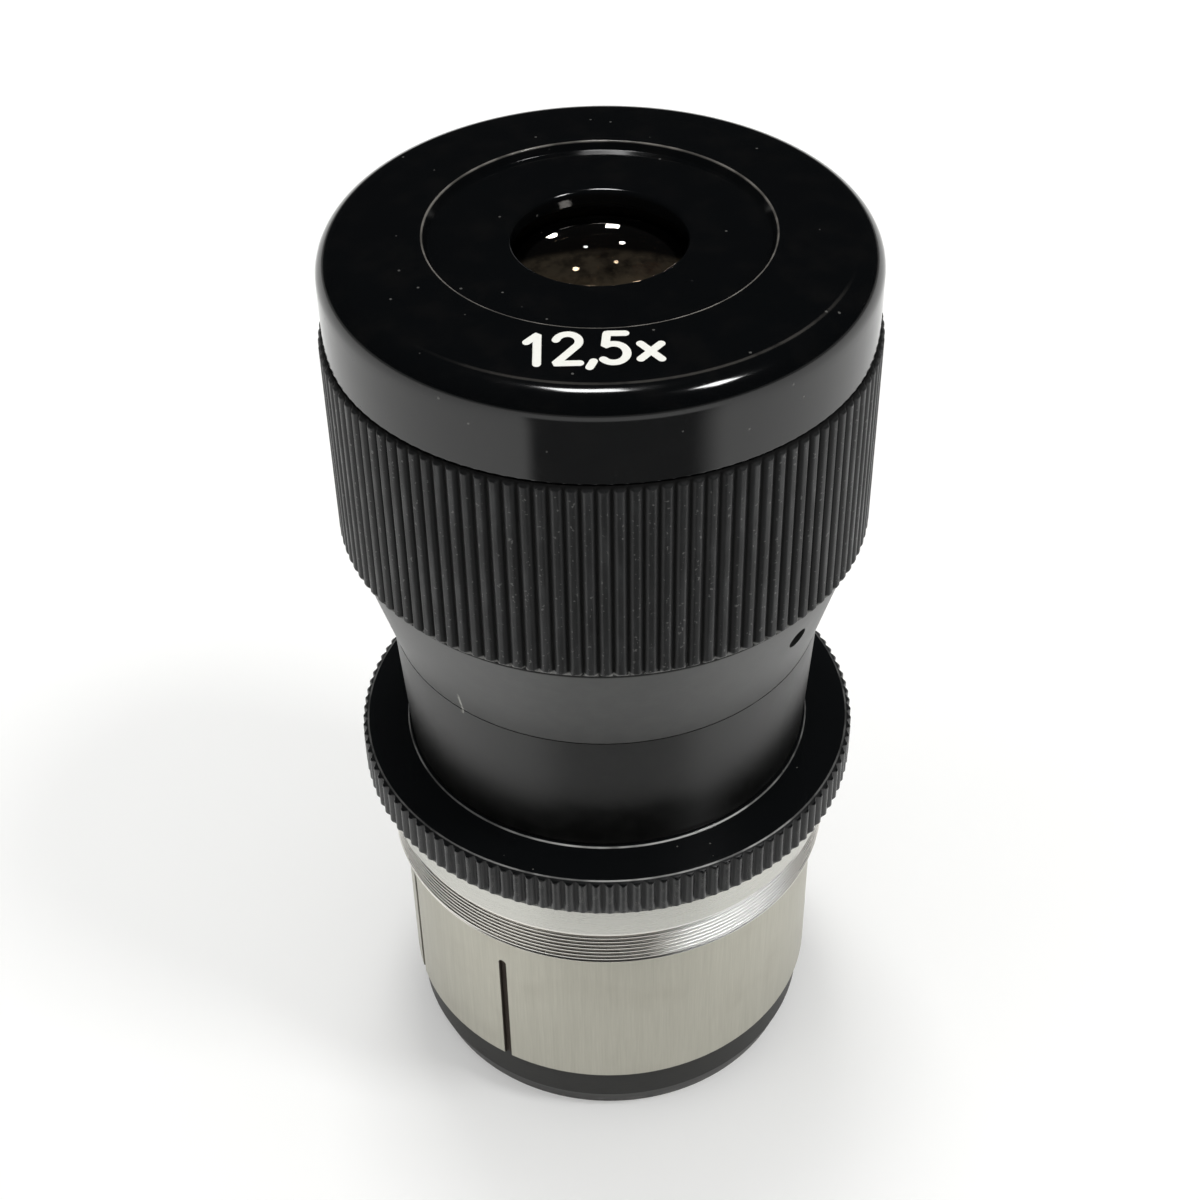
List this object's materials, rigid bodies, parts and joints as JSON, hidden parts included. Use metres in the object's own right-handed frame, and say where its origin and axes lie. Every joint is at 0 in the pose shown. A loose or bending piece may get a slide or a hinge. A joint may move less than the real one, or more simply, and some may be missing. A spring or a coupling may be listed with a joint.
{
  "type": "microscope eyepiece",
  "caption": "Microscope eyepiece with fluted dioptre grip, tapered neck, captive milled coupling ring over a threaded collar, and a grooved steel barrel; the upper shell turns and rises.",
  "frame": {"origin": "centre of the flat underside of the end ring, on the optical axis", "axes": "+Z along the optical axis towards the eye; -Y is the side that faces the camera in the picture; +X to the right"},
  "size_m": [0.0482, 0.0482, 0.0926],
  "materials": {
    "end_ring_black": "black anodised, satin, turned",
    "barrel_steel": "fine lengthwise brushed, satin",
    "collar_bright": "bright turned",
    "coupling_black": "black lacquer, glossy",
    "sleeve_black": "black anodised, satin",
    "inner_black": "black anodised, matt",
    "grip_black": "black anodised, matt",
    "cap_gloss": "glossy black",
    "washer_brass": "turned brass",
    "screw_steel": "blackened steel",
    "lens_glass": "coated optical glass"
  },
  "bodies": {
    "barrel": {"end_ring": "end_ring_black", "barrel_tube": "barrel_steel", "neck_sleeve": "sleeve_black", "field_stop_tube": "inner_black", "field_stop": "inner_black", "field_stop_ring": "inner_black"},
    "coupling": {"threaded_collar": "collar_bright", "coupling_ring": "coupling_black"},
    "lens_carriage": {"lens_cell": "inner_black", "carriage_key": "washer_brass", "key_screws": "screw_steel", "eye_lens": "lens_glass", "upper_spacer": "inner_black", "doublet_crown": "lens_glass", "doublet_flint": "lens_glass", "lower_spacer": "inner_black", "field_lens": "lens_glass", "lens_retaining_ring": "inner_black"},
    "upper_shell": {"skirt_sleeve": "sleeve_black", "guide_screw": "screw_steel", "grip_ring": "grip_black", "eye_cap": "cap_gloss", "thrust_washer": "washer_brass", "carriage_retaining_ring": "inner_black"}
  },
  "joints": [
    {"name": "coupling_turn", "type": "hinge", "parent": "barrel", "child": "coupling", "pos_m": [0, 0, 0.0366], "axis": [0, 0, 1], "continuous": true},
    {"name": "dioptre_slide", "type": "slide", "parent": "barrel", "child": "lens_carriage", "axis": [0, 0, 1], "range_m": [0, 0.004]},
    {"name": "dioptre_turn", "type": "hinge", "parent": "lens_carriage", "child": "upper_shell", "pos_m": [0, 0, 0.0693], "axis": [0, 0, 1], "range_deg": [0, 180]}
  ],
  "couplings": [
    {"joint": "dioptre_slide", "follows": "dioptre_turn", "m_per_rad": 0.0012732}
  ]
}
